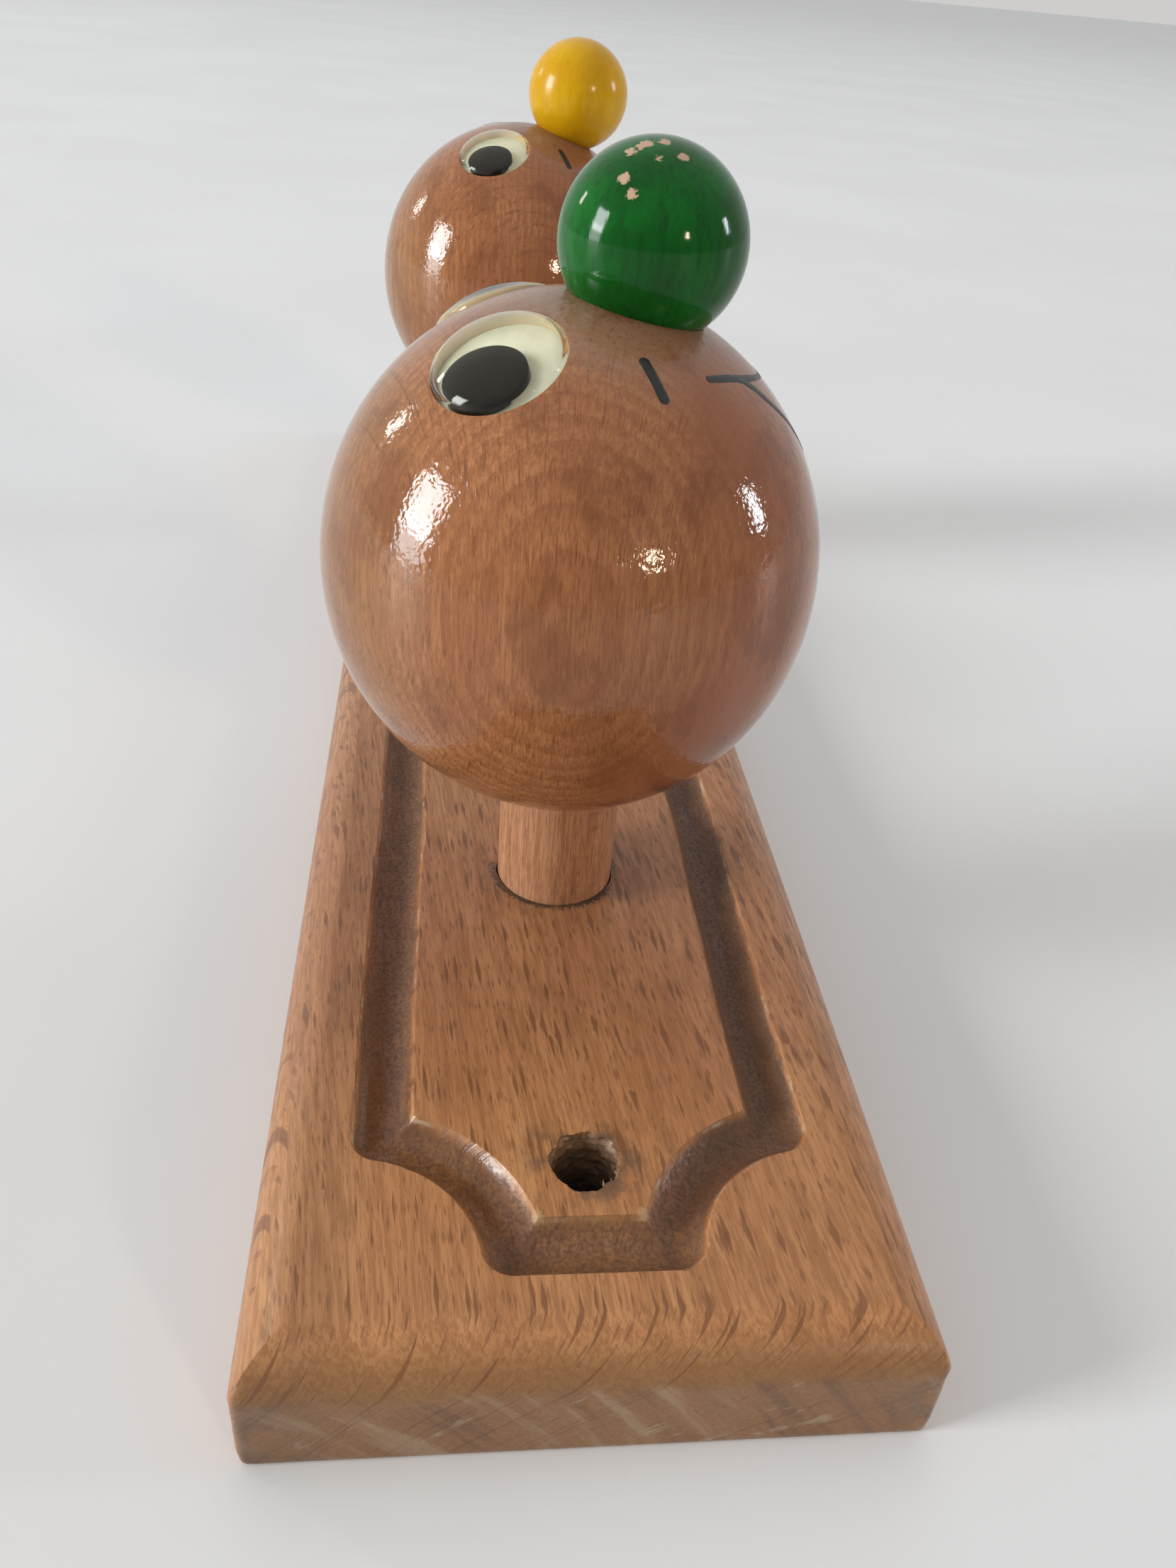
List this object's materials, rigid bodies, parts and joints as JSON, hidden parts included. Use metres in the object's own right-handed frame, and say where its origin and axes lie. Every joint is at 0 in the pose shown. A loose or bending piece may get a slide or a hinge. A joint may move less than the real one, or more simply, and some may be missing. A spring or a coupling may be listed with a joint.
{
  "type": "children's wall coat rack",
  "caption": "Grooved wooden wall board with pegs that carry ball heads with ball noses and wiggle eyes, for hanging small coats by their loops.",
  "frame": {"origin": "centre of the board's back face, which is the bottom of the bounding box as the rack lies on its back", "axes": "+X along the board towards the yellow-nosed head, +Y up the wall, +Z out of the wall"},
  "size_m": [0.25, 0.0572, 0.0905],
  "materials": {
    "board_wood": "worn waxed beech",
    "peg_wood": "worn clear varnish on beech",
    "head_wood": "gloss lacquer on beech",
    "green_paint": "chipped gloss green paint on beech",
    "yellow_paint": "gloss yellow paint on beech",
    "eye_backing": "aged white plastic",
    "eye_pupil": "black plastic",
    "eye_dome": "clear moulded plastic",
    "black_ink": "marker ink under lacquer"
  },
  "bodies": {
    "root": {"back_board": "board_wood", "left_peg": "peg_wood", "left_head": "head_wood", "left_nose": "green_paint", "left_head_left_eye_back": "eye_backing", "left_head_left_eye_dome": "eye_dome", "left_head_right_eye_back": "eye_backing", "left_head_right_eye_dome": "eye_dome", "right_peg": "peg_wood", "right_head": "head_wood", "right_nose": "yellow_paint", "right_head_left_eye_back": "eye_backing", "right_head_left_eye_dome": "eye_dome", "right_head_right_eye_back": "eye_backing", "right_head_right_eye_dome": "eye_dome"},
    "left_head_left_pupil": {"left_head_left_eye_pupil": "eye_pupil"},
    "left_head_right_pupil": {"left_head_right_eye_pupil": "eye_pupil"},
    "right_head_left_pupil": {"right_head_left_eye_pupil": "eye_pupil"},
    "right_head_right_pupil": {"right_head_right_eye_pupil": "eye_pupil"}
  },
  "joints": [
    {"name": "left_head_left_pupil_roll", "type": "hinge", "parent": "root", "child": "left_head_left_pupil", "pos_m": [-0.07304, 0.00872, 0.07255], "axis": [-0.3638, 0.3338, 0.8696], "continuous": true},
    {"name": "left_head_right_pupil_roll", "type": "hinge", "parent": "root", "child": "left_head_right_pupil", "pos_m": [-0.05444, 0.00839, 0.07213], "axis": [0.4108, 0.3206, 0.8535], "continuous": true},
    {"name": "right_head_left_pupil_roll", "type": "hinge", "parent": "root", "child": "right_head_left_pupil", "pos_m": [0.05432, 0.00578, 0.07294], "axis": [-0.4146, 0.2113, 0.8851], "continuous": true},
    {"name": "right_head_right_pupil_roll", "type": "hinge", "parent": "root", "child": "right_head_right_pupil", "pos_m": [0.07521, 0.00508, 0.07261], "axis": [0.454, 0.1822, 0.8722], "continuous": true}
  ]
}
